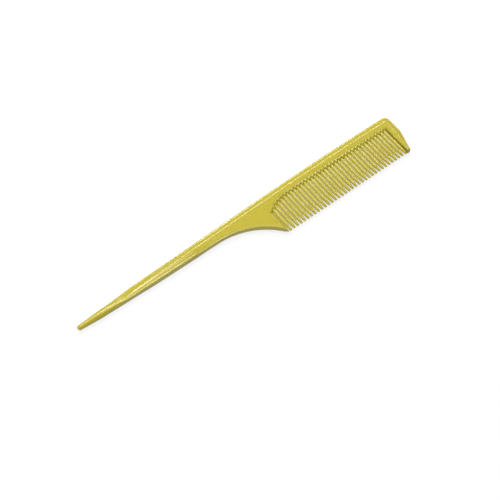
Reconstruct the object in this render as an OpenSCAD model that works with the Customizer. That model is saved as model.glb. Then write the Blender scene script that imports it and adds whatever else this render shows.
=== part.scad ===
// Rat tail comb, moulded in plastic. A bevelled spine carries a row of fine
// teeth between a heel and an end guard. A shoulder sweeps from the heel down
// to a flat grip, which runs out into a faceted tail with a round point.
// Millimetres. The comb lies flat: +X runs from the tail to the head, +Y from
// the tooth tips to the back of the spine, +Z up through the thickness.

/* [Tooth row] */
// Number of teeth between the heel and the end guard
tooth_count = 35; // [20:1:40]
// Distance from one tooth to the next
tooth_pitch = 2.475; // [2.4:0.025:3.2]
// Length of a full tooth, from the root line to the tip
tooth_length = 19.2; // [15:0.1:21]
// Width of a full tooth at its root
tooth_root_w = 2.05; // [1.6:0.05:2.1]
// Width of a tooth where its slim end begins
tooth_neck_w = 2; // [1.4:0.05:2.1]
// Width of a tooth where its round tip begins
tooth_tip_w = 1.5; // [0.8:0.05:1.6]
// Thickness of a tooth at its root, where it flares into the spine
tooth_flare_t = 3.2; // [2.8:0.1:3.4]
// Length of that flare below the root line
tooth_flare = 0.4; // [0.2:0.1:1.5]
// Thickness of a full tooth below the flare
tooth_root_t = 2.5; // [2.2:0.1:2.8]
// Thickness of a tooth where its slim end begins
tooth_neck_t = 2.2; // [1.6:0.1:2.4]
// Thickness of a tooth where its round tip begins
tooth_tip_t = 1.6; // [1:0.1:1.8]
// Length of the slim end of a tooth
tooth_slim = 5; // [3:0.5:9]
// Length of the round tip of a tooth
tooth_round = 0.8; // [0.4:0.1:1.2]
// Rise of the line of tooth tips from the heel to the end guard
tip_rise = 0.4; // [0:0.1:1.5]

/* [Head] */
// Width of the head, from the tooth tips to the back of the spine
head_w = 27.8; // [26:0.1:36]
// Thickness of the spine and shoulder
head_t = 3.8; // [3.4:0.1:5]
// Width of the bevel that runs along the back and round the head
back_bevel = 3.3; // [2.5:0.1:3.6]
// Width of the rounded rim outside that bevel
rim_w = 1; // [0.6:0.1:1.4]
// Height of that rim above the parting plane
rim_h = 0.95; // [0.6:0.05:1.2]
// Half the length over which the bevel rounds into the flat face
edge_soft = 0.3; // [0.1:0.05:0.5]
// Distance from the root line to the scalloped edge of the flat face, above the
// middle of a tooth
scallop_tooth = 2; // [1.8:0.1:2.4]
// The same distance above a gap
scallop_gap = 1.05; // [0.9:0.05:1.25]
// Lean of the tooth roots away from the tips, in mm per mm of height
root_lean = 0.45; // [0.2:0.05:0.5]

/* [Guards] */
// Gap between an end tooth and the heel or the end guard, at the root line
guard_gap = 0.2; // [0.2:0.05:0.6]
// Width of the end guard at the spine
guard_w = 6.5; // [5.5:0.05:8]
// Width of the end guard near its tip
guard_tip_w = 2.3; // [1.6:0.1:3.5]
// Height above the tooth tips at which the end guard starts to taper
guard_kink = 14.8; // [8:0.2:15]
// Length of the end guard's round tip
guard_round = 1.3; // [0.8:0.1:2]
// Width of the chamfer on the side of the end guard that faces the teeth
guard_chamfer = 0.15; // [0.1:0.05:1.6]
// Width of the chamfer on the side of the heel that faces the teeth
heel_chamfer = 2; // [0.4:0.1:2.4]
// Width of the heel
heel_w = 3.2; // [2.6:0.1:4]
// Height above the tooth tips at which the heel meets the root line
heel_root = 14.9; // [12:0.1:18]
// Length over which the root line rises from the heel to full depth
root_rise = 14; // [9:0.5:20]

/* [Shoulder] */
// Length of the shoulder, from the grip to the heel
shoulder_l = 34.9; // [30:0.1:50]
// Height of the grip's belly above the tooth tips
belly_y = 17.75; // [15:0.05:18.5]
// Width over which the flat faces curve down to the belly's edge
edge_w = 2.4; // [0.6:0.1:2.8]
// Fall of the faces over that width
edge_fall = 0.3; // [0.1:0.05:1]
// Bulge of the belly's wall at the parting plane
belly_draft = 0.15; // [0:0.05:0.4]

/* [Grip] */
// Length of the grip
grip_l = 50; // [38:0.5:80]
// Width over which the grip's faces curve down to the belly's edge
grip_edge_w = 2.6; // [0.6:0.1:2.8]
// Fall of the faces over that width
grip_edge_fall = 0.6; // [0.1:0.05:1.4]
// Thickness of the grip
grip_t = 4.8; // [4.2:0.1:5.6]
// Length over which the grip swells out of the tail
swell_l = 12; // [6:0.5:16]
// Length over which the grip thins to the shoulder
thinning_l = 12; // [6:0.5:20]
// Plain length between that thinning and the shoulder
neck_l = 5; // [1:0.5:10]
// Straight length of the back at the head
back_flat = 23; // [10:1:40]
// Radius of the long arch that follows it
back_arch_r = 2600; // [2400:50:6000]
// Rise of the back along the grip, in mm per mm
back_slope = 0.033; // [0.02:0.001:0.034]

/* [Tail] */
// Thickness of the faceted tail
tail_t = 4.2; // [3.6:0.1:5]
// Length of the tail, from the grip to the end of its point
tail_l = 40; // [32:0.5:60]
// Length of the round point
point_l = 14; // [8:0.5:16]
// Diameter of the round point where the facets begin
point_d = 4.5; // [3.2:0.1:4.8]
// Diameter of the ball end
ball_d = 2.95; // [1.6:0.05:3.2]
// Length over which the facets grow out of the round point
facet_l = 12; // [6:0.5:14]
// Length over which the bevel of the back then draws up from the whole face
sweep_l = 12; // [6:0.5:16]
// Width and fall of the edge between the facets and the underside of the tail
tail_edge = 0.5; // [0.2:0.05:0.8]
// Rise of the tail's underside above the grip's belly
tail_rise = 0.3; // [0:0.05:0.8]

/* [Hidden] */
plastic = "#c3b953";

// Stations along the comb, from the end of the tail
shoulder_x = tail_l + grip_l;
heel_x = shoulder_x + shoulder_l;
heel_cut_x = heel_x - heel_w;
tooth_row_x = heel_x + guard_gap + tooth_root_w/2;
guard_x = tooth_row_x + (tooth_count - 1)*tooth_pitch + tooth_root_w/2 + guard_gap;
comb_l = guard_x + guard_w;
arch_x = comb_l - back_flat;
thinning_end = shoulder_x - neck_l;

// Edges of the flat faces and of the rounded head corner
plateau_inset = back_bevel + edge_soft;
corner_x = comb_l - plateau_inset;
corner_y = head_w - plateau_inset;
point_y = belly_y + tail_rise + point_d/2;
// The belly's arc leaves the grip level and ends at the tooth tips
belly_arc_r = (shoulder_l*shoulder_l + belly_y*belly_y)/(2*belly_y);
// Height of the narrow strip of flat face that is left above the heel's tip
heel_strip = 0.2;
// Shares of its width, height and thickness that are left at the heel's tip
heel_tip = [0.2, 1/12, 0.35];
// Share of the room between the bevel and the belly that the curved edge may take
edge_share = 0.95;
root_drop = tooth_length - heel_root;
root_arc_r = (root_rise*root_rise + root_drop*root_drop)/(2*root_drop);

rim_steps = [0:30:90];
crown_steps = [0, 0.35, 0.7, 1];
fine_steps = [0, 30, 60, 80];
oval_steps = [0:36:180];
// Number of points on the front half of a section of the body
body_points = 12;

function mix(a, b, t) = a + (b - a)*t;
function ease(v, a, b) = let (t = min(1, max(0, (v - a)/(b - a)))) t*t*(3 - 2*t);
function steps(a, b, n) = [for (k = [0:n]) mix(a, b, k/n)];
function arc_drop(d, r) = r - sqrt(r*r - d*d);

// Height of the back: straight at the head, then a long arch, then a slope
function back_y(x) =
    let (d = max(0, arch_x - x), arch = min(d, back_arch_r*back_slope))
    head_w - arch*arch/(2*back_arch_r) - back_slope*(d - arch);

// How far the section at x has grown from the tail's into the grip's
function swell(x) = ease(x, point_l + facet_l, tail_l + swell_l);

// Height of the belly, and the station at which the shoulder's arc has a height
function belly_at(x) =
    belly_y + tail_rise*(1 - swell(x)) - arc_drop(max(0, x - shoulder_x), belly_arc_r);
function belly_station(y) =
    let (below = max(0, belly_y - y), c = belly_arc_r - below)
    shoulder_x + sqrt(belly_arc_r*belly_arc_r - c*c);

// Height of the root line: a rise out of the heel, then level
function root_at(x) = tooth_length - arc_drop(max(0, heel_x + root_rise - x), root_arc_r);

// Half the thickness, which swells from the tail to the grip and thins to the head
function half_t(x) = mix(
    mix(tail_t, grip_t, swell(x)),
    head_t, ease(x, thinning_end - thinning_l, thinning_end))/2;

// Inset and height of the rim, the bevel and its soft edge on the flat face
function back_profile(bevel, h) =
    let (rise = (h - rim_h)/(bevel - rim_w),
        a = [bevel - edge_soft, h - edge_soft*rise],
        b = [bevel, h],
        c = [bevel + edge_soft, h])
    concat([for (t = rim_steps) [rim_w*(1 - cos(t)), rim_h*sin(t)]], [a, (a + 2*b + c)/4, c]);

// Height above the belly and half thickness, from the flat face to the wall
function belly_profile(h, w, fall) =
    concat([for (u = crown_steps) [belly_draft + w*(1 - u), h - fall*u*u]], [[0, 0]]);

// Width of the bevel, which covers the whole face where the facets begin
function bevel_at(x) =
    let (whole = back_y(x) - belly_at(x) - belly_draft - tail_edge - edge_soft)
    mix(whole, back_bevel, ease(x, point_l + facet_l, point_l + facet_l + sweep_l));

// Curved edge above the belly, which changes from the tail to the grip and on to
// the shoulder and stays clear of the bevel
function edge_mix(x, tail, grip, shoulder) = mix(mix(tail, grip, swell(x)), shoulder,
    ease(x, thinning_end - thinning_l, shoulder_x + shoulder_l/2));
function belly_edge(x) =
    let (room = back_y(x) - bevel_at(x) - edge_soft - belly_at(x) - belly_draft)
    belly_profile(half_t(x), min(edge_share*room, edge_mix(x, tail_edge, grip_edge_w, edge_w)),
        edge_mix(x, tail_edge, grip_edge_fall, edge_fall));

// Front half of a section of the body, from the back to the belly
function body_row(x) = concat(
    [for (p = back_profile(bevel_at(x), half_t(x))) [x, back_y(x) - p.x, p.y]],
    [for (p = belly_edge(x)) [x, belly_at(x) + p.x, p.y]]);

function round_row(x) = [for (k = [0:body_points - 1])
    let (t = 180*k/(body_points - 1))
    [x, point_y + point_d/2*cos(t), point_d/2*sin(t)]];

function tail_row(x) = mix(round_row(x), body_row(x), ease(x, point_l, point_l + facet_l));

// Section of the spine: its bevelled back, the scalloped edge of the flat face,
// the foot of the slope below that edge, and the root line
function spine_row(x, y, edge, foot) = concat(
    [for (p = back_profile(back_bevel, half_t(x))) [x, back_y(x) - p.x, p.y]],
    [[x, y + edge, half_t(x)], [x, y + foot, tooth_flare_t/2], [x, y, 0]]);

// Distance from the root line to that edge, at d from the middle of a tooth
function scallop(d) = mix(scallop_gap, scallop_tooth, (1 + cos(360*d/tooth_pitch))/2);
wall_edge = scallop(guard_gap + tooth_root_w/2);

// Section above the tooth row, whose slope has its foot on the leaning tooth seats
function edge_row(x, y, edge) = spine_row(x, y, edge, root_lean*tooth_flare_t/2);

// Sections beside a guard, from its wall (t = 0) to the level seat on it (t = 1)
function seat_row(x, y, t) = spine_row(x, y, wall_edge*(1 - t), 0);

// Place, width and thickness of the teeth
function tooth_x(i) = tooth_row_x + i*tooth_pitch;
function taper(y, tip, neck, root) =
    y < tooth_slim ? mix(tip, neck, (y - tooth_round)/(tooth_slim - tooth_round))
    : mix(neck, root, (y - tooth_slim)/(tooth_length - tooth_slim));
function tooth_wide(y) = taper(y, tooth_tip_w, tooth_neck_w, tooth_root_w);
function tooth_t(y) = taper(y, tooth_tip_t, tooth_neck_t, tooth_root_t);
// Height of the line of tooth tips
function tip_at(x) = tip_rise*(x - heel_x)/(guard_x - heel_x);
function tooth_name(i) = str("tooth_", i < 9 ? "0" : "", i + 1);

// Front half of a tooth's oval section. Its thickness leans by slope, so that the
// root lies on the spine's leaning seat.
function tooth_row(x, y, w, t, slope) = [for (a = oval_steps)
    [x + w/2*cos(a), y + t/2*sin(a)*slope, t/2*sin(a)]];

// Closed solid through rows of points on the front half of each section. The
// back half mirrors the front across the parting plane, and each end is closed
// round a point midway between the section's two edges.
module loft(rows) {
    n = len(rows[0]);
    m = 2*n - 2;
    count = len(rows);
    far = m*(count - 1);
    ends = [for (row = [rows[0], rows[count - 1]]) (row[0] + row[n - 1])/2];
    points = [for (row = rows) for (k = [0:m - 1])
        k < n ? row[k] : [row[m - k].x, row[m - k].y, -row[m - k].z]];
    // Each cell between two rows is split along its shorter diagonal
    sides = [for (j = [0:m:far - m]) for (k = [0:m - 1])
        let (a = j + k, b = j + (k + 1)%m,
            across = norm(points[a] - points[b + m]) < norm(points[b] - points[a + m]))
        each across ? [[a, b + m, b], [a, a + m, b + m]] : [[a, a + m, b], [a + m, b + m, b]]];
    caps = [for (k = [0:m - 1]) let (next = (k + 1)%m)
        each [[k, next, m*count], [far + next, far + k, m*count + 1]]];
    polyhedron(concat(points, ends), concat(sides, caps));
}

// Sets the comb down on its grip, centred over its box
module laid() {
    color(plastic) translate([-comb_l/2, -head_w/2, grip_t/2]) children();
}

module tail_tip() laid() translate([0, point_y, 0]) rotate([0, 90, 0]) {
    translate([0, 0, ball_d/2]) sphere(d = ball_d, $fn = 48);
    translate([0, 0, ball_d/2]) cylinder(h = point_l - ball_d/2, d1 = ball_d, d2 = point_d, $fn = 48);
}

module tail() laid() loft([for (x = steps(point_l, tail_l, 13)) tail_row(x)]);

module grip() laid() loft([for (x = concat(steps(tail_l, tail_l + swell_l, 6),
    steps(thinning_end - thinning_l, thinning_end, 8), [shoulder_x])) body_row(x)]);

module shoulder() laid() loft([for (x = steps(shoulder_x, heel_cut_x, 20)) body_row(x)]);

// Row across the heel, from the wall beside the first tooth to the belly
function heel_row(y) = concat(
    [[heel_x, y, 0], [heel_x - heel_chamfer, y, head_t/2]],
    [for (p = belly_profile(head_t/2, edge_w, edge_fall))
        [max(heel_cut_x, belly_station(y - p.x)), y, p.y]]);

module heel_guard() {
    edge = belly_draft + edge_w;
    open_y = belly_at(heel_cut_x) + edge;
    shut_y = belly_at(heel_x - heel_chamfer) + edge + heel_strip;
    tip = [for (p = heel_row(shut_y)) [mix(heel_x, p.x, heel_tip.x), shut_y*heel_tip.y,
        p.z*heel_tip.z]];
    laid() loft(concat([heel_row(heel_root)],
        [for (y = steps(open_y, shut_y, 6)) heel_row(y)], [tip]));
}

module spine() {
    mitre = tooth_flare_t/head_t;
    // Teeth on the rise of the root line stand on level lands of their own width
    lands = [for (i = [0:tooth_count - 1])
        let (x = tooth_x(i), y = root_at(x), gap = x + tooth_pitch/2,
            reach = y < tooth_length ? tooth_wide(y)/2 : tooth_pitch/4)
        each concat(
            [for (d = [-reach, 0, reach]) edge_row(x + d, y, scallop(d))],
            gap > guard_x - tooth_pitch ? [] : [edge_row(gap, root_at(gap), scallop_gap)])];
    laid() loft(concat(
        [for (x = [heel_cut_x, heel_x - heel_chamfer]) seat_row(x, heel_root, 1)],
        [seat_row(heel_x - heel_chamfer*mitre, heel_root, mitre)],
        [edge_row(heel_x, heel_root, wall_edge)],
        lands,
        [edge_row(guard_x, tooth_length, wall_edge)],
        [seat_row(guard_x + guard_chamfer*mitre, tooth_length, mitre)],
        [for (x = [guard_x + guard_chamfer, corner_x]) seat_row(x, tooth_length, 1)]));
}

// Rim and bevel in section, from the edge of the flat face outwards
module rim_section() {
    side = [for (p = back_profile(back_bevel, head_t/2)) [plateau_inset - p.x, p.y]];
    polygon(concat(side, [for (k = [len(side) - 1:-1:1]) [side[k].x, -side[k].y]]));
}

module head_corner() laid() translate([corner_x, corner_y, 0]) {
    rotate_extrude(angle = 90, $fn = 64) rim_section();
    rotate([90, 0, 0]) linear_extrude(corner_y - tooth_length) rim_section();
}

// Row across the end guard, from its rim to the wall beside the last tooth.
// At the round tip it draws in by s towards its middle.
function guard_row(y, s) =
    let (reach = mix(guard_tip_w, guard_w, min(1, y/guard_kink)),
        f = reach/guard_w,
        mid = guard_x + reach/2,
        row = concat(
            [for (p = back_profile(back_bevel, head_t/2)) [guard_x + reach - p.x*f, p.y]],
            [[guard_x + guard_chamfer*f, head_t/2], [guard_x, 0]]))
    [for (p = row) [mix(mid, p.x, s), y, p.y*s]];

module end_guard() laid() loft(concat(
    [for (y = [tooth_length, guard_kink]) guard_row(y, 1)],
    [for (y = steps(guard_kink, tip_rise + guard_round, 4)) if (y < guard_kink) guard_row(y, 1)],
    [for (t = fine_steps) if (t > 0) guard_row(tip_rise + guard_round*(1 - sin(t)), cos(t))]));

module tooth(i) {
    x = tooth_x(i);
    root = root_at(x);
    tip = tip_at(x);
    laid() loft(concat(
        [tooth_row(x, root, tooth_wide(root), tooth_flare_t, root_lean)],
        [tooth_row(x, root - tooth_flare, tooth_wide(root), tooth_t(root - tooth_flare), 0)],
        [tooth_row(x, tip + tooth_slim, tooth_neck_w, tooth_neck_t, 0)],
        [for (t = fine_steps) tooth_row(x, tip + tooth_round*(1 - sin(t)),
            tooth_tip_w*cos(t), tooth_tip_t*cos(t), 0)]));
}

tail_tip();
tail();
grip();
shoulder();
heel_guard();
spine();
head_corner();
end_guard();
for (i = [0:tooth_count - 1]) tooth(i);
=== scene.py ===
"""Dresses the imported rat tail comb.

Fine moulded surfaces stand in place of its CAD solids, in gold plastic, in a white studio.
"""

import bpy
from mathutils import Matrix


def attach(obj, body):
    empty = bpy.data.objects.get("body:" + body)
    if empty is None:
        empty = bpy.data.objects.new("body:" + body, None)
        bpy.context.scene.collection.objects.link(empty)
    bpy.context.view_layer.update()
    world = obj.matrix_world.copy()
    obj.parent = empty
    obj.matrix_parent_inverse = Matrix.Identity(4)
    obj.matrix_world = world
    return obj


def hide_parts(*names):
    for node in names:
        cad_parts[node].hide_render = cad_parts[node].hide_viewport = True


bl_info = {
    "name": "Rat Tail Comb",
    "version": (1, 0, 0),
    "blender": (4, 5, 0),
    "location": "3D View > Sidebar > Comb",
    "description": "Builds a moulded rat tail comb on its packed frame, with a white studio round it",
    "category": "Add Mesh",
}

import math

import bmesh
import bpy
import numpy as np
from mathutils import Matrix, Vector

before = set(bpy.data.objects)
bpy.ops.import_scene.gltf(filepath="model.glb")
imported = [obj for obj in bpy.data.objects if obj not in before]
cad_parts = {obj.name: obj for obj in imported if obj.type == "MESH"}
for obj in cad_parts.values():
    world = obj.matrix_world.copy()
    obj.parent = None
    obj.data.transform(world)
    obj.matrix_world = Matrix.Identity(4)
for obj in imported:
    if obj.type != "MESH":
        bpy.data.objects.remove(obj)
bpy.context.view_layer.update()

MM = 0.001
BODY = "root"
TOOTH_NODES = sorted(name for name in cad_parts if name.startswith("tooth_"))
# Edges that turn by more than this stay sharp, and points closer than this are one
SHARP_TURN = math.radians(24)
WELD = 0.002 * MM


def linear(code):
    """The linear colour of an sRGB hex value."""
    shares = [int(code[k:k + 2], 16) / 255 for k in (1, 3, 5)]
    return [v / 12.92 if v <= 0.04045 else ((v + 0.055) / 1.055) ** 2.4 for v in shares]


def length(name, millimetres, description):
    """A length of the comb, given in millimetres and kept in metres."""
    return bpy.props.FloatProperty(
        name=name, description=description, default=millimetres * MM, min=0, unit="LENGTH", precision=6)


def share(name, value, description):
    """A plain ratio from 0 to 1."""
    return bpy.props.FloatProperty(
        name=name, description=description, default=value, min=0, max=1, subtype="FACTOR")


def tint(name, code, description):
    """A colour, given as an sRGB hex value."""
    return bpy.props.FloatVectorProperty(
        name=name, description=description, default=linear(code), size=3, min=0, max=1, subtype="COLOR")


class CombSizes(bpy.types.PropertyGroup):
    """Sizes of the comb.

    They follow its CAD source, apart from the finer teeth, scallops, soft edges and tail.
    """

    tooth_pitch: length("Tooth pitch", 2.475, "Distance from one tooth to the next")
    tooth_length: length("Tooth length", 19.2, "Length of a full tooth, from the root line to the tip")
    tooth_root_w: length("Root width", 2.05, "Width of a tooth's root in the CAD source, which sets the row")
    root_swell: length("Root swell", 0.25, "Width that a drawn tooth has there beyond that")
    tooth_neck_w: length("Neck width", 2.27, "Width of a tooth where its slim end begins")
    tooth_tip_w: length("Tip width", 1.55, "Width of a tooth where its round tip begins")
    tooth_root_t: length("Root thickness", 1.7, "Thickness of a full tooth at its root")
    tooth_neck_t: length("Neck thickness", 2, "Thickness of a tooth where its slim end begins")
    tooth_tip_t: length("Tip thickness", 1.7, "Thickness of a tooth towards its tip")
    tooth_slim: length("Slim end", 5, "Length of the slim end of a tooth")
    tooth_round: length("Round tip", 0.8, "Length of the round tip of a tooth")
    tooth_nose: length("Nose", 2.2, "Length over which the faces of a tooth fall to its tip")
    tooth_keen: share("Keenness", 0.25, "How far the section of a tooth goes from an oval to a lens")
    tip_rise: length("Tip rise", 0.4, "Rise of the line of tooth tips from the heel to the end guard")
    head_w: length("Head width", 27.8, "Width of the head, from the tooth tips to the back")
    head_t: length("Head thickness", 3.8, "Thickness of the spine and shoulder")
    back_bevel: length("Back bevel", 3.3, "Width of the bevel along the back and round the head")
    rim_w: length("Rim width", 1, "Width of the rounded rim outside that bevel")
    rim_h: length("Rim height", 0.95, "Height of that rim above the parting plane")
    edge_soft: length("Soft edge", 0.45, "Half the length over which the bevel rounds into the face")
    scallop_tooth: length("Scallop over tooth", 1.7, "Root line to the edge of the hollow above a tooth")
    hollow_run: length("Hollow run", 0.8, "Length over which the face drops into that hollow")
    hollow_low: length("Hollow foot", 0.75, "Height of the foot of that hollow above the parting plane")
    scallop_gap: length("Scallop over gap", 0.5, "Root line to the nose of the bead above a gap")
    bead_w: length("Bead width", 1.85, "Length of the slope on that bead")
    bead_fall: length("Bead fall", 0.68, "Fall of that slope")
    guard_gap: length("Guard gap", 0.2, "Gap between an end tooth and the heel or the end guard")
    guard_w: length("Guard width", 6.5, "Width of the end guard at the spine")
    guard_tip_w: length("Guard tip width", 2.3, "Width of the end guard near its tip")
    guard_kink: length("Guard kink", 14.8, "Height at which the end guard starts to taper")
    guard_round: length("Guard round", 1.3, "Length of the end guard's round tip")
    guard_chamfer: length("Guard chamfer", 0.15, "Chamfer on the side of the end guard by the teeth")
    heel_chamfer: length("Heel chamfer", 2, "Chamfer on the side of the heel by the teeth")
    heel_w: length("Heel width", 3.2, "Width of the heel")
    heel_root: length("Heel root", 14.9, "Height at which the heel meets the root line")
    root_rise: length("Root rise", 14, "Length over which the root line rises from the heel")
    shoulder_l: length("Shoulder", 34.9, "Length of the shoulder, from the grip to the heel")
    belly_y: length("Belly", 17.75, "Height of the grip's belly above the tooth tips")
    edge_w: length("Edge width", 2.4, "Width over which the faces curve down to the belly's edge")
    edge_fall: length("Edge fall", 0.3, "Fall of the faces over that width")
    belly_draft: length("Belly draft", 0.15, "Bulge of the belly's wall at the parting plane")
    grip_l: length("Grip length", 50, "Length of the grip")
    grip_edge_w: length("Grip edge width", 2.6, "Width over which the grip's faces curve to its belly")
    grip_edge_fall: length("Grip edge fall", 0.65, "Fall of the faces over that width")
    grip_t: length("Grip thickness", 4.8, "Thickness of the grip")
    swell_l: length("Swell", 12, "Length over which the grip swells out of the tail")
    thinning_l: length("Thinning", 12, "Length over which the grip thins to the shoulder")
    neck_l: length("Neck", 5, "Plain length between that thinning and the shoulder")
    back_flat: length("Back flat", 23, "Straight length of the back at the head")
    back_arch_r: length("Back arch", 2600, "Radius of the long arch that follows it")
    back_slope: share("Back slope", 0.033, "Rise of the back along the grip, in mm per mm")
    tail_t: length("Tail thickness", 3.6, "Thickness of the faceted tail")
    tail_l: length("Tail length", 40, "Length of the tail, from the grip to the end of its point")
    point_l: length("Point length", 14, "Length of the round point")
    point_d: length("Point diameter", 4.5, "Diameter of the round point where the facets begin")
    ball_d: length("Ball diameter", 2.95, "Diameter of the ball end")
    facet_l: length("Facet run", 12, "From the round point to where the bevel begins to draw up")
    round_l: length("Round run", 22, "Length over which the tail's section stays partly round")
    sweep_l: length("Bevel sweep", 10, "Length over which the back's bevel draws up from the whole face")
    tail_edge: length("Tail edge", 0.25, "Width of the face below the bevel where the facets begin")
    tail_edge_w: length("Tail edge width", 2.2, "Width over which the tail's faces curve to its underside")
    tail_edge_fall: length("Tail edge fall", 0.5, "Fall of the faces over that width")
    tail_rise: length("Tail rise", 0.3, "Rise of the tail's underside above the grip's belly")
    edge_break: length("Edge break", 0.12, "Radius that the mould leaves on a sharp edge")


class CombFinish(bpy.types.PropertyGroup):
    """Colours of the comb and of the paper that it lies on."""

    gold: tint("Gold", "#BDB03C", "Colour of the moulded plastic")
    gold_deep: tint("Deep gold", "#B6A834", "Colour of the plastic where its pigment lies thicker")
    paper: tint("Paper", "#FFFFFF", "Colour of the paper under the comb")
    paper_bounce: tint("Paper bounce", "#B8B8B4", "Colour of the light that the paper throws on the comb")


def mix(a, b, t):
    """What lies at share t of the way from a to b."""
    return a + (b - a) * t


def ease(v, a, b):
    """Goes smoothly from 0 to 1 while v goes from a to b."""
    t = min(1, max(0, (v - a) / (b - a)))
    return t * t * (3 - 2 * t)


def arc_drop(d, r):
    """How far an arc of radius r has fallen at distance d from its top."""
    return r - math.sqrt(r * r - d * d)


def bend(a, b, c, count):
    """Points of the curve that leaves a for b and comes in to c."""
    return [(1 - t) ** 2 * a + 2 * t * (1 - t) * b + t * t * c for t in np.linspace(0, 1, count)]


def inside(a, b, count):
    """Points that part the line from a to b into count steps, without its ends."""
    return [mix(a, b, k / count) for k in range(1, count)]


def stretches(*marks):
    """Stations through marks of (end, step), the first of which gives the start."""
    found = [marks[0][0]]
    for end, step in marks[1:]:
        count = max(1, round(abs(end - found[-1]) / step))
        found += list(np.linspace(found[-1], end, count + 1)[1:])
    return found


class Form:
    """The comb's surfaces, as rows of points in metres.

    Here x runs from the end of the tail, y from the tooth tips and z from the parting plane.
    """

    # Steps along the parts of a body section: rim, bevel, soft edge, face, belly edge, wall.
    # Each has its share of the half turn that it grows from where the tail is round.
    RUNS = ((10, 3), (3, 1), (6, 2), (4, 1), (8, 3), (3, 1))
    # Height at which the heel's tip is cut off
    HEEL_TIP_Y = 0.3 * MM
    # Share of the room between the bevel and the belly that the curved edge may take
    EDGE_SHARE = 0.95
    # Power of the wave along the root line: the higher, the narrower the hollows over the teeth
    HOLLOW_POWER = 4
    # Share of a scallop's reach, and of a bead's height, at which its foot stands
    FOOT_SHARE = 0.3
    # Distances between sections, closer where the form changes faster
    POINT_STEP = 2 * MM
    TAIL_STEP = 0.75 * MM
    GRIP_STEP = 4 * MM
    SHOULDER_STEP = 0.8 * MM
    HEEL_STEP = 2 * MM
    HEEL_TIP_STEP = 0.2 * MM
    GUARD_STEP = 1 * MM
    GUARD_TAPER_STEP = 0.6 * MM
    TOOTH_STEP = 3 * MM
    TOOTH_SLIM_STEP = 1 * MM
    TOOTH_NOSE_STEP = 0.2 * MM
    # Turns of the sections on the round ends, in degrees
    BALL_TURNS = (8, 20, 32, 44, 56, 68, 80)
    GUARD_TURNS = (12, 24, 36, 48, 60, 70, 80)
    TIP_TURNS = (15, 30, 45, 60, 72, 83)
    # Sections round the head corner, and from one mark of the root line to the next
    CORNER_SECTIONS = 31
    ROOT_STEPS = 4
    # Steps along the face of the spine, and points on a soft edge, a scallop's nose and an edge break
    FACE_STEPS = 4
    EDGE_POINTS = 5
    NOSE_POINTS = 7
    BREAK_POINTS = 4
    # Points across the front of a tooth
    TOOTH_POINTS = 33

    def __init__(self, sizes):
        for name in CombSizes.__annotations__:
            setattr(self, name, getattr(sizes, name))
        self.count = len(TOOTH_NODES)
        self.shoulder_x = self.tail_l + self.grip_l
        self.heel_x = self.shoulder_x + self.shoulder_l
        self.heel_cut_x = self.heel_x - self.heel_w
        self.tooth_row_x = self.heel_x + self.guard_gap + self.tooth_root_w / 2
        self.guard_x = self.tooth_x(self.count - 1) + self.tooth_root_w / 2 + self.guard_gap
        self.comb_l = self.guard_x + self.guard_w
        self.arch_x = self.comb_l - self.back_flat
        self.thinning_end = self.shoulder_x - self.neck_l
        self.plateau_inset = self.back_bevel + self.edge_soft
        self.corner_x = self.comb_l - self.plateau_inset
        self.corner_y = self.head_w - self.plateau_inset
        self.point_y = self.belly_y + self.tail_rise + self.point_d / 2
        self.belly_arc_r = (self.shoulder_l ** 2 + self.belly_y ** 2) / (2 * self.belly_y)
        drop = self.tooth_length - self.heel_root
        self.root_arc_r = (self.root_rise ** 2 + drop ** 2) / (2 * drop)
        spans = sum(span for _, span in self.RUNS)
        turn, done = [0], 0
        for count, span in self.RUNS:
            turn += list(np.linspace(done, done + span, count + 1)[1:])
            done += span
        self.turn = [math.pi * t / spans for t in turn]

    def back_y(self, x):
        """Height of the back."""
        d = max(0, self.arch_x - x)
        arch = min(d, self.back_arch_r * self.back_slope)
        return self.head_w - arch ** 2 / (2 * self.back_arch_r) - self.back_slope * (d - arch)

    def swell(self, x):
        """Share of the way from the tail's sizes to the grip's."""
        return ease(x, self.point_l + self.facet_l, self.tail_l + self.swell_l)

    def belly_at(self, x):
        """Height of the belly."""
        rise = self.tail_rise * (1 - self.swell(x))
        return self.belly_y + rise - arc_drop(max(0, x - self.shoulder_x), self.belly_arc_r)

    def belly_station(self, y):
        """Where the belly's arc has come down to a height."""
        c = self.belly_arc_r - max(0, self.belly_y - y)
        return self.shoulder_x + math.sqrt(self.belly_arc_r ** 2 - c * c)

    def root_at(self, x):
        """Height of the root line."""
        return self.tooth_length - arc_drop(max(0, self.heel_x + self.root_rise - x), self.root_arc_r)

    def half_t(self, x):
        """Half the thickness."""
        thick = mix(self.tail_t, self.grip_t, self.swell(x))
        return mix(thick, self.head_t, ease(x, self.thinning_end - self.thinning_l, self.thinning_end)) / 2

    def back_profile(self, bevel, h):
        """Inset and height of the rim, the bevel and its soft edge on the flat face."""
        rim_count, bevel_count, soft_count = (run[0] for run in self.RUNS[:3])
        rim = [np.array((self.rim_w * (1 - math.cos(t)), self.rim_h * math.sin(t)))
               for t in np.linspace(0, math.pi / 2, rim_count + 1)]
        rise = (h - self.rim_h) / (bevel - self.rim_w)
        low = np.array((bevel - self.edge_soft, h - self.edge_soft * rise))
        crest = np.array((bevel, h))
        high = np.array((bevel + self.edge_soft, h))
        return rim + inside(rim[-1], low, bevel_count) + bend(low, crest, high, soft_count + 1)

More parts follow.
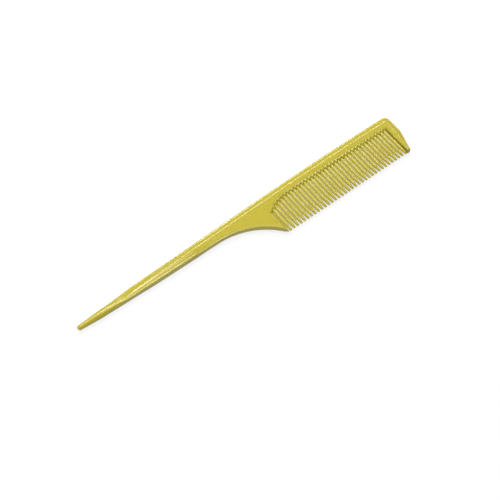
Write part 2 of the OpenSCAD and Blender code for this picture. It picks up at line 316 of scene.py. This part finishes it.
    def belly_profile(self, h, w, fall):
        """Height above the belly and half thickness, from the flat face to the wall."""
        edge_count, wall_count = (run[0] for run in self.RUNS[4:])
        corner = np.array((self.belly_draft, h - fall))
        crown = [np.array((self.belly_draft + w * (1 - u), h - fall * u * u))
                 for u in np.linspace(0, 1 - self.edge_break / w, edge_count + 2 - self.BREAK_POINTS)]
        below = corner * (1 - self.edge_break / np.linalg.norm(corner))
        edge = crown + bend(crown[-1], corner, below, self.BREAK_POINTS)[1:]
        return edge + [edge[-1] * (1 - t) for t in np.linspace(0, 1, wall_count + 1)[1:]]

    def bevel_at(self, x):
        """Width of the back's bevel, which takes the whole face where the facets begin."""
        whole = self.back_y(x) - self.belly_at(x) - self.belly_draft - self.tail_edge - self.edge_soft
        start = self.point_l + self.facet_l
        return mix(whole, self.back_bevel, ease(x, start, start + self.sweep_l))

    def edge_mix(self, x, tail, grip, shoulder):
        """A size of the belly's edge, which changes from the tail to the grip and the shoulder."""
        soft = ease(x, self.thinning_end - self.thinning_l, self.shoulder_x + self.shoulder_l / 2)
        return mix(mix(tail, grip, self.swell(x)), shoulder, soft)

    def belly_edge(self, x):
        """The belly's profile, made smaller where the bevel leaves little room for it."""
        room = self.back_y(x) - self.bevel_at(x) - self.edge_soft - self.belly_at(x) - self.belly_draft
        wide = self.edge_mix(x, self.tail_edge_w, self.grip_edge_w, self.edge_w)
        fall = self.edge_mix(x, self.tail_edge_fall, self.grip_edge_fall, self.edge_fall)
        fit = min(1, self.EDGE_SHARE * room / wide)
        return self.belly_profile(self.half_t(x), wide * fit, fall * fit)

    def round_row(self, x, radius):
        """Front half of a round section of the point."""
        return [(x, self.point_y + radius * math.cos(t), radius * math.sin(t)) for t in self.turn]

    def body_row(self, x):
        """Front half of a section, which grows out of the round point along the tail."""
        profile = self.back_profile(self.bevel_at(x), self.half_t(x))
        back = np.array([(x, self.back_y(x) - inset, z) for inset, z in profile])
        belly = np.array([(x, self.belly_at(x) + rise, z) for rise, z in self.belly_edge(x)])
        face = inside(back[-1], belly[0], self.RUNS[3][0])
        grown = ease(x, self.point_l, self.point_l + self.round_l)
        return mix(np.array(self.round_row(x, self.point_d / 2)), np.array([*back, *face, *belly]), grown)

    def handle_rows(self):
        """Sections from the ball end to the seat of the heel."""
        ball = self.ball_d / 2
        rows = [self.round_row(ball * (1 - math.cos(t)), ball * math.sin(t))
                for t in np.radians(self.BALL_TURNS)]
        rows += [self.round_row(x, mix(ball, self.point_d / 2, (x - ball) / (self.point_l - ball)))
                 for x in stretches((ball,), (self.point_l, self.POINT_STEP))[:-1]]
        return rows + [self.body_row(x) for x in stretches(
            (self.point_l,), (self.tail_l + self.swell_l, self.TAIL_STEP),
            (self.thinning_end - self.thinning_l, self.GRIP_STEP), (self.heel_cut_x, self.SHOULDER_STEP))]

    def tooth_x(self, i):
        """Middle of a tooth."""
        return self.tooth_row_x + i * self.tooth_pitch

    def tip_at(self, x):
        """Height of the line of tooth tips."""
        return self.tip_rise * (x - self.heel_x) / (self.guard_x - self.heel_x)

    def taper(self, y, tip, neck, root):
        """A size of a tooth at a height above its tip."""
        if y < self.tooth_slim:
            return mix(tip, neck, (y - self.tooth_round) / (self.tooth_slim - self.tooth_round))
        return mix(neck, root, (y - self.tooth_slim) / (self.tooth_length - self.tooth_slim))

    def tooth_wide(self, y):
        """Width of a tooth at a height above its tip."""
        return self.taper(y, self.tooth_tip_w, self.tooth_neck_w, self.tooth_root_w + self.root_swell)

    def tooth_thick(self, y):
        """Thickness of a tooth at a height above its tip, where its faces fall in a nose."""
        fall = max(0, 1 - y / self.tooth_nose)
        nose = math.sqrt(1 - fall * fall)
        return nose * self.taper(y, self.tooth_tip_t, self.tooth_neck_t, self.tooth_root_t)

    def spine_row(self, x, y, path):
        """Front half of a section of the spine, whose face falls to the root line by a brow and a nose."""
        h = self.half_t(x)
        back = [(self.back_y(x) - inset, z) for inset, z in self.back_profile(self.back_bevel, h)]
        root = np.array((y, 0))
        brow, nose, foot = root + path
        start = brow + np.array((self.edge_soft, 0))
        middle = (brow + nose) / 2
        face = inside(np.array(back[-1]), start, self.FACE_STEPS)
        fall = bend(start, brow, middle, self.EDGE_POINTS) + bend(middle, nose, foot, self.NOSE_POINTS)[1:]
        return [(x, p[0], p[1]) for p in back + face + fall + [(foot + root) / 2, root]]

    def scallop(self, x):
        """Brow, nose and foot of the spine's lower edge: in a hollow over a tooth, on a bead over a gap."""
        wave = math.cos(math.pi * (x - self.tooth_row_x) / self.tooth_pitch)
        h, foot = self.head_t / 2, self.FOOT_SHARE
        reach, brink, low = self.scallop_gap, self.scallop_tooth, self.hollow_low
        bead = np.array(((reach + self.bead_w, h), (reach, h - self.bead_fall), (foot * reach, foot * h)))
        hollow = np.array(((brink, h), (brink - self.hollow_run, low), (foot * brink, low / 2)))
        return mix(bead, hollow, wave ** self.HOLLOW_POWER)

    def spine_rows(self):
        """Sections from the heel to the head corner, scalloped above the teeth."""
        # Root line and level lands of the teeth that stand on its rise
        marks = [(self.heel_x, self.heel_root)]
        for i in range(self.count):
            x = self.tooth_x(i)
            y = self.root_at(x)
            reach = self.tooth_wide(y) / 2
            marks += [(x - reach, y), (x, y), (x + reach, y)]
            if i < self.count - 1:
                gap = x + self.tooth_pitch / 2
                marks.append((gap, self.root_at(gap)))
        marks.append((self.guard_x, self.tooth_length))
        stations, roots = np.array(marks).T

        def land_row(x):
            root = float(np.interp(x, stations, roots))
            return self.spine_row(x, root, self.scallop(x))

        def seat_row(x, y, t):
            """A section that turns, while t goes from 0 to 1, from a scallop to the flat seat of a guard."""
            seat = np.array([(0, self.head_t * k / 6) for k in (3, 2, 1)])
            return self.spine_row(x, y, mix(self.scallop(self.heel_x), seat, t))

        steps = np.arange(self.ROOT_STEPS) / self.ROOT_STEPS
        lands = [mix(a, b, t) for a, b in zip(stations, stations[1:]) for t in steps]
        rows = [seat_row(self.heel_cut_x, self.heel_root, 1)]
        rows += [seat_row(self.heel_x - self.heel_chamfer * t, self.heel_root, t)
                 for t in (1, 0.75, 0.5, 0.25)]
        rows += [land_row(x) for x in lands + [self.guard_x]]
        return rows + [seat_row(x, self.tooth_length, 1)
                       for x in (self.guard_x + self.guard_chamfer, self.corner_x)]

    def heel_rows(self):
        """Rows across the heel, from its seat under the spine down to its tip."""
        h = self.head_t / 2
        belly = self.belly_profile(h, self.edge_w, self.edge_fall)
        wall = np.array((self.heel_x, 0.0))
        edge = np.array((self.heel_x - self.heel_chamfer, h))
        soft = self.edge_soft
        a = edge + (wall - edge) * soft / np.linalg.norm(wall - edge)

        def over(p):
            """Height of a point above the chamfer."""
            return p[1] - h * (self.heel_x - p[0]) / self.heel_chamfer

        def row(y):
            left = [np.array((max(self.heel_cut_x, self.belly_station(y - rise)), z)) for rise, z in belly]
            b = mix(edge, left[0], min(1, soft / max(soft, edge[0] - left[0][0])))
            turn = [mix(wall, a, 0.5)] + bend(a, edge, b, self.EDGE_POINTS) + inside(b, left[0], 3)
            below = next(k for k, p in enumerate(left) if over(p) <= 0)
            if below > 0:
                # The belly cuts the chamfer here, in a ridge that runs down to the tip
                p, q = left[below - 1], left[below]
                ridge = mix(q, p, over(q) / (over(q) - over(p)))
                turn = [mix(wall, ridge, 0.5)] + [ridge] * (len(turn) - 1)
                left[:below] = [ridge] * below
            return np.array([(p[0], y, p[1]) for p in [wall] + turn + left])

        open_y = self.belly_at(self.heel_cut_x) + self.belly_draft + self.edge_w
        return [row(y) for y in stretches(
            (self.heel_root,), (open_y, self.HEEL_STEP), (self.HEEL_TIP_Y, self.HEEL_TIP_STEP))]

    def corner_rows(self):
        """Sections of the rim and bevel, round the head corner and down to the end guard."""
        bevel = self.back_profile(self.back_bevel, self.head_t / 2)
        profile = [(self.plateau_inset - inset, z) for inset, z in bevel] + [(0, 0)]

        def row(turn, y):
            return [(self.corner_x + out * math.cos(turn), y + out * math.sin(turn), z) for out, z in profile]

        rows = [row(t, self.corner_y) for t in np.radians(np.linspace(90, 0, self.CORNER_SECTIONS))]
        below = stretches((self.corner_y,), (self.tooth_length, self.GUARD_STEP))[1:]
        return rows + [row(0, y) for y in below]

    def guard_rows(self):
        """Rows across the end guard, from its seat under the spine down to its round tip."""
        h = self.head_t / 2
        profile = self.back_profile(self.back_bevel, h)
        soft = self.edge_break

        def row(y, s):
            reach = mix(self.guard_tip_w, self.guard_w, min(1, y / self.guard_kink))
            f = reach / self.guard_w
            rim = [np.array((self.guard_x + reach - inset * f, z)) for inset, z in profile]
            edge = np.array((self.guard_x + self.guard_chamfer * f, h))
            wall = np.array((self.guard_x, 0.0))
            a = edge + np.array((min(soft, (rim[-1] - edge)[0] / 2), 0))
            c = edge + (wall - edge) * soft / np.linalg.norm(wall - edge)
            turn = bend(a, edge, c, self.EDGE_POINTS)
            points = rim + inside(rim[-1], a, 3) + turn + [mix(c, wall, 0.5), wall]
            middle = self.guard_x + reach / 2
            return [(mix(middle, p[0], s), y, p[1] * s) for p in points]

        rows = [row(y, 1) for y in stretches(
            (self.tooth_length,), (self.guard_kink, self.GUARD_STEP),
            (self.tip_rise + self.guard_round, self.GUARD_TAPER_STEP))]
        return rows + [row(self.tip_rise + self.guard_round * (1 - math.sin(t)), math.cos(t))
                       for t in np.radians(self.GUARD_TURNS)]

    def tooth_rows(self, i):
        """Sections of a tooth, from its root in the hollow of the spine to the round tip."""
        x = self.tooth_x(i)
        root, tip = self.root_at(x), self.tip_at(x)
        turn = np.linspace(0, math.pi, self.TOOTH_POINTS)
        power = 1 + self.tooth_keen
        across = np.copysign(abs(np.cos(turn)) ** power, np.cos(turn))
        above = abs(np.sin(turn)) ** power

        def row(y, w, t):
            return [(x + w / 2 * a, y, t / 2 * b) for a, b in zip(across, above)]

        seat = root + self.scallop_tooth - self.hollow_run
        rows = [row(seat, self.tooth_wide(root), self.tooth_thick(root))]
        rows += [row(tip + y, self.tooth_wide(y), self.tooth_thick(y)) for y in stretches(
            (root,), (self.tooth_slim, self.TOOTH_STEP), (self.tooth_nose, self.TOOTH_SLIM_STEP),
            (self.tooth_round, self.TOOTH_NOSE_STEP))]
        turns = [(self.tooth_round * (1 - math.sin(t)), self.tooth_tip_w * math.cos(t))
                 for t in np.radians(self.TIP_TURNS)]
        return rows + [row(tip + y, w, self.tooth_thick(y)) for y, w in turns]

    def laid(self, point):
        """A point of the comb where the frame has it, lying on its grip."""
        x, y, z = point
        return (x - self.comb_l / 2, y - self.head_w / 2, z + self.grip_t / 2)


def add_node(tree, kind, settings=(), **inputs):
    """Adds a node, sets its own settings, and sets or links its inputs by name."""
    node = tree.nodes.new(kind)
    for name, value in dict(settings).items():
        setattr(node, name, value)
    for name, value in inputs.items():
        socket = node.inputs[int(name[1:])] if name[0] == "_" else node.inputs[name.replace("_", " ")]
        if isinstance(value, bpy.types.NodeSocket):
            tree.links.new(value, socket)
        else:
            socket.default_value = value
    return node


def new_material(name):
    """A material, and its node tree where it still has to be filled."""
    material = bpy.data.materials.get(name)
    if material:
        return material, None
    material = bpy.data.materials.new(name)
    material.use_nodes = True
    material.node_tree.nodes.clear()
    return material, material.node_tree


def moulded_gold(finish):
    """Injection moulded ABS with a fine gold pearl pigment.

    To the eye it is opaque, of one colour right through, smooth and glossy.
    """
    material, tree = new_material("gold_moulded_abs")
    if tree is None:
        return material
    place = add_node(tree, "ShaderNodeTexCoord").outputs["Object"]
    # The melt carries the pigment in faint clouds about 15 mm across
    cloud = add_node(tree, "ShaderNodeTexNoise", Vector=place,
                     Scale=1 / (15 * MM), Detail=3.0, Roughness=0.55)
    colour = add_node(tree, "ShaderNodeMix", {"data_type": "RGBA"}, _0=cloud.outputs["Fac"],
                      _6=[*finish.gold, 1], _7=[*finish.gold_deep, 1])
    # The polished mould leaves some places a little duller, in patches of 4 mm
    patch = add_node(tree, "ShaderNodeTexNoise", Vector=place, Scale=1 / (4 * MM), Detail=0.0)
    gloss = add_node(tree, "ShaderNodeMapRange", Value=patch.outputs["Fac"],
                     From_Min=0.3, From_Max=0.7, To_Min=0.15, To_Max=0.17)
    # Faint ripples of the cooling skin, drawn at 1.2 mm, because finer ones can't show
    ripple = add_node(tree, "ShaderNodeTexNoise", Vector=place, Scale=1 / (1.2 * MM), Detail=2.0)
    skin = add_node(tree, "ShaderNodeBump", Strength=0.02, Distance=0.02 * MM, Height=ripple.outputs["Fac"])
    shader = add_node(tree, "ShaderNodeBsdfPrincipled", Base_Color=colour.outputs[2],
                      Roughness=gloss.outputs["Result"], IOR=1.52, Normal=skin.outputs["Normal"])
    add_node(tree, "ShaderNodeOutputMaterial", Surface=shader.outputs["BSDF"])
    return material


def white_paper(finish):
    """Thin white paper on a light table.

    It glows from below, so that only a faint shadow shows on it.
    """
    material, tree = new_material("backlit_white_paper")
    if tree is None:
        return material
    rays = add_node(tree, "ShaderNodeLightPath").outputs
    seen = add_node(tree, "ShaderNodeMath", {"operation": "MAXIMUM"},
                    _0=rays["Is Camera Ray"], _1=rays["Is Glossy Ray"]).outputs[0]
    seen = add_node(tree, "ShaderNodeMath", {"operation": "MAXIMUM"},
                    _0=seen, _1=rays["Is Transmission Ray"]).outputs[0]
    colour = add_node(tree, "ShaderNodeMix", {"data_type": "RGBA"}, _0=seen,
                      _6=[*finish.paper_bounce, 1], _7=[*finish.paper, 1]).outputs[2]
    lit = add_node(tree, "ShaderNodeBsdfDiffuse", Color=colour)
    glow = add_node(tree, "ShaderNodeEmission", Color=colour, Strength=1.0)
    # From 250 mm out the lamps' light fades, and the glow takes over so that the paper stays white
    place = add_node(tree, "ShaderNodeTexCoord").outputs["Object"]
    away = add_node(tree, "ShaderNodeVectorMath", {"operation": "LENGTH"}, _0=place).outputs["Value"]
    glowing = add_node(tree, "ShaderNodeMapRange", Value=away,
                       From_Min=250 * MM, From_Max=700 * MM, To_Min=0.75, To_Max=1.0).outputs["Result"]
    shader = add_node(tree, "ShaderNodeMixShader", Fac=glowing,
                      _1=lit.outputs["BSDF"], _2=glow.outputs["Emission"])
    add_node(tree, "ShaderNodeOutputMaterial", Surface=shader.outputs["Shader"])
    return material


def moulding(context, form, name, half_rows, nodes):
    """Makes a closed piece in place of CAD nodes.

    Its surface runs through rows on the front half, mirrored across the parting plane.
    """
    rings = [[tuple(p) for p in row] + [(x, y, -z) for x, y, z in row[-2:0:-1]] for row in half_rows]
    size = len(rings[0])
    points = [form.laid(p) for ring in rings for p in ring]
    faces = [(j + k, j + (k + 1) % size, j + size + (k + 1) % size, j + size + k)
             for j in range(0, len(points) - size, size) for k in range(size)]
    last = len(points) - size
    # A fan of faces closes each end
    for start, ring in ((0, half_rows[0]), (last, half_rows[-1])):
        middle = len(points)
        points.append(form.laid((np.array(ring[0]) + np.array(ring[-1])) / 2))
        faces += [(start + k, middle, start + (k + 1) % size) if start == 0
                  else (start + (k + 1) % size, middle, start + k) for k in range(size)]
    mesh = bpy.data.meshes.new(name)
    mesh.from_pydata(points, [], faces)
    piece = bpy.data.objects.new(name, mesh)
    context.scene.collection.objects.link(piece)
    weld(mesh)
    mesh.materials.append(moulded_gold(context.scene.comb_finish))
    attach(piece, BODY)
    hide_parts(*nodes)


def weld(mesh):
    """Joins points that fall together, turns faces outwards and shades them up to sharp edges."""
    work = bmesh.new()
    work.from_mesh(mesh)
    bmesh.ops.remove_doubles(work, verts=work.verts, dist=WELD)
    bmesh.ops.dissolve_degenerate(work, edges=work.edges, dist=WELD)
    bmesh.ops.recalc_face_normals(work, faces=work.faces)
    work.to_mesh(mesh)
    work.free()
    mesh.shade_smooth()
    mesh.set_sharp_from_angle(angle=SHARP_TURN)


class COMB_OT_handle(bpy.types.Operator):
    """Builds the ball-ended tail, the grip and the shoulder as one flowing surface"""

    bl_idname = "comb.handle"
    bl_label = "Handle"

    def execute(self, context):
        form = Form(context.scene.comb_sizes)
        moulding(context, form, "handle", form.handle_rows(), ("tail_tip", "tail", "grip", "shoulder"))
        return {"FINISHED"}


class COMB_OT_spine(bpy.types.Operator):
    """Builds the spine with its bevelled back and scalloped root line"""

    bl_idname = "comb.spine"
    bl_label = "Spine"

    def execute(self, context):
        form = Form(context.scene.comb_sizes)
        moulding(context, form, "bevelled_spine", form.spine_rows(), ("spine",))
        return {"FINISHED"}


class COMB_OT_guards(bpy.types.Operator):
    """Builds the heel, the head corner and the end guard"""

    bl_idname = "comb.guards"
    bl_label = "Guards"

    def execute(self, context):
        form = Form(context.scene.comb_sizes)
        moulding(context, form, "heel", form.heel_rows(), ("heel_guard",))
        moulding(context, form, "round_corner", form.corner_rows(), ("head_corner",))
        moulding(context, form, "guard", form.guard_rows(), ("end_guard",))
        return {"FINISHED"}


class COMB_OT_teeth(bpy.types.Operator):
    """Builds the row of teeth, one piece each"""

    bl_idname = "comb.teeth"
    bl_label = "Teeth"

    def execute(self, context):
        form = Form(context.scene.comb_sizes)
        for i, node in enumerate(TOOTH_NODES):
            moulding(context, form, "fine_" + node, form.tooth_rows(i), (node,))
        return {"FINISHED"}


class COMB_OT_stage(bpy.types.Operator):
    """Lays white paper under the comb and sets the lamps and the camera"""

    bl_idname = "comb.stage"
    bl_label = "Stage"

    # Where the camera looks, which way it stands from there, and how far, in millimetres
    AIM = (-8.6, -10.41, 2.4)
    TOWARDS_CAMERA = (-0.28940, -0.38519, 0.87629)
    DISTANCE = 544.2
    # Focal length and film width in millimetres, and the shift in shares of that width
    LENS = 71.9
    FILM = 36
    SHIFT = 0.001
    # Half the width of the paper, and how far it lies below the comb, in millimetres
    PAPER_HALF = 3000
    PAPER_DROP = 0.02
    # Name, direction from that aim, distance, width and height in millimetres, watts
    LAMPS = (
        ("left_softbox", (-0.76, -0.25, 0.60), 440, 300, 300, 0.8),
        ("back_strip", (0.35, 0.68, 0.645), 900, 460, 160, 3.4),
        ("right_strip", (0.72, 0.33, 0.61), 900, 300, 160, 1.0),
        ("tail_softbox", (-0.03, 0.40, 0.916), 1034, 460, 560, 3.0),
        ("tail_panel", (0.045, 0.40, 0.915), 1046, 170, 260, 1.3),
        ("edge_panel", (0.1437, -0.2207, 0.9647), 974, 240, 220, 1.3),
        ("bead_panel", (0.445, -0.22, 0.868), 1094, 340, 180, 1.6),
    )
    # The room's own light: brightest towards this side, in shares of white
    BRIGHT_SIDE = (0.0, 0.60, 0.80)
    SKY_DARK = 0.05
    SKY_BRIGHT = 0.15
    # Cosine of the angle from that side at which the room begins to brighten
    SKY_TURN = 0.2

    def execute(self, context):
        scene = context.scene
        aim = Vector(self.AIM) * MM
        self.lay_paper(scene)
        self.hang_lamps(scene, aim)
        self.light_room(scene)
        self.set_camera(scene, aim)
        scene.view_settings.view_transform = "Standard"
        return {"FINISHED"}

    def lay_paper(self, scene):
        """Lays the paper just under the comb."""
        half = self.PAPER_HALF * MM
        z = -self.PAPER_DROP * MM
        corners = [(-half, -half, z), (half, -half, z), (half, half, z), (-half, half, z)]
        mesh = bpy.data.meshes.new("paper")
        mesh.from_pydata(corners, [], [(0, 1, 2, 3)])
        mesh.materials.append(white_paper(scene.comb_finish))
        paper = bpy.data.objects.new("paper", mesh)
        scene.collection.objects.link(paper)

    def hang_lamps(self, scene, aim):
        """Hangs the lamps round the comb, each facing the aim."""
        for name, way, distance, width, height, watts in self.LAMPS:
            lamp = bpy.data.lights.new(name, "AREA")
            lamp.shape = "RECTANGLE"
            lamp.size, lamp.size_y = width * MM, height * MM
            lamp.energy = watts
            holder = bpy.data.objects.new(name, lamp)
            way = Vector(way).normalized()
            holder.location = aim + way * distance * MM
            holder.rotation_euler = way.to_track_quat("Z", "Y").to_euler()
            scene.collection.objects.link(holder)

    def light_room(self, scene):
        """Gives the room a soft light, stronger behind the comb."""
        world = bpy.data.worlds.new("studio")
        scene.world = world
        world.use_nodes = True
        tree = world.node_tree
        tree.nodes.clear()
        way = add_node(tree, "ShaderNodeTexCoord").outputs["Generated"]
        side = add_node(tree, "ShaderNodeVectorMath", {"operation": "DOT_PRODUCT"},
                        _0=way, _1=self.BRIGHT_SIDE).outputs["Value"]
        level = add_node(tree, "ShaderNodeMapRange", {"interpolation_type": "SMOOTHSTEP"},
                         Value=side, From_Min=self.SKY_TURN, From_Max=1.0,
                         To_Min=self.SKY_DARK, To_Max=self.SKY_BRIGHT).outputs["Result"]
        # Beyond the paper the camera sees plain white
        seen = add_node(tree, "ShaderNodeLightPath").outputs["Is Camera Ray"]
        shown = add_node(tree, "ShaderNodeMath", {"operation": "MAXIMUM"}, _0=level, _1=seen).outputs[0]
        sky = add_node(tree, "ShaderNodeBackground", Color=(1, 1, 1, 1), Strength=shown)
        add_node(tree, "ShaderNodeOutputWorld", Surface=sky.outputs["Background"])

    def set_camera(self, scene, aim):
        """Stands the camera where the comb looks as in the photograph."""
        lens = bpy.data.cameras.new("photo_view")
        lens.lens, lens.sensor_width = self.LENS, self.FILM
        lens.shift_x, lens.shift_y = -self.SHIFT, self.SHIFT
        camera = bpy.data.objects.new("photo_view", lens)
        scene.collection.objects.link(camera)
        back = Vector(self.TOWARDS_CAMERA).normalized()
        right = Vector((0, 0, 1)).cross(back).normalized()
        turn = Matrix((right, back.cross(right), back)).transposed()
        camera.matrix_world = Matrix.Translation(aim + back * self.DISTANCE * MM) @ turn.to_4x4()
        scene.camera = camera


class COMB_PT_panel(bpy.types.Panel):
    """Lists the comb's pieces, sizes and colours"""

    bl_idname = "COMB_PT_panel"
    bl_label = "Rat Tail Comb"
    bl_space_type = "VIEW_3D"
    bl_region_type = "UI"
    bl_category = "Comb"

    def draw(self, context):
        for operator in OPERATORS:
            self.layout.operator(operator.bl_idname)
        scene = context.scene
        for group, settings in ((CombFinish, scene.comb_finish), (CombSizes, scene.comb_sizes)):
            column = self.layout.column(align=True)
            for name in group.__annotations__:
                column.prop(settings, name)


OPERATORS = (COMB_OT_handle, COMB_OT_spine, COMB_OT_guards, COMB_OT_teeth, COMB_OT_stage)
CLASSES = (CombSizes, CombFinish, *OPERATORS, COMB_PT_panel)


def register():
    for cls in CLASSES:
        bpy.utils.register_class(cls)
    bpy.types.Scene.comb_sizes = bpy.props.PointerProperty(type=CombSizes)
    bpy.types.Scene.comb_finish = bpy.props.PointerProperty(type=CombFinish)


def unregister():
    del bpy.types.Scene.comb_finish
    del bpy.types.Scene.comb_sizes
    for cls in reversed(CLASSES):
        bpy.utils.unregister_class(cls)


def main():
    register()
    bpy.ops.comb.handle()
    bpy.ops.comb.spine()
    bpy.ops.comb.guards()
    bpy.ops.comb.teeth()
    bpy.ops.comb.stage()


if __name__ == "__main__":
    main()
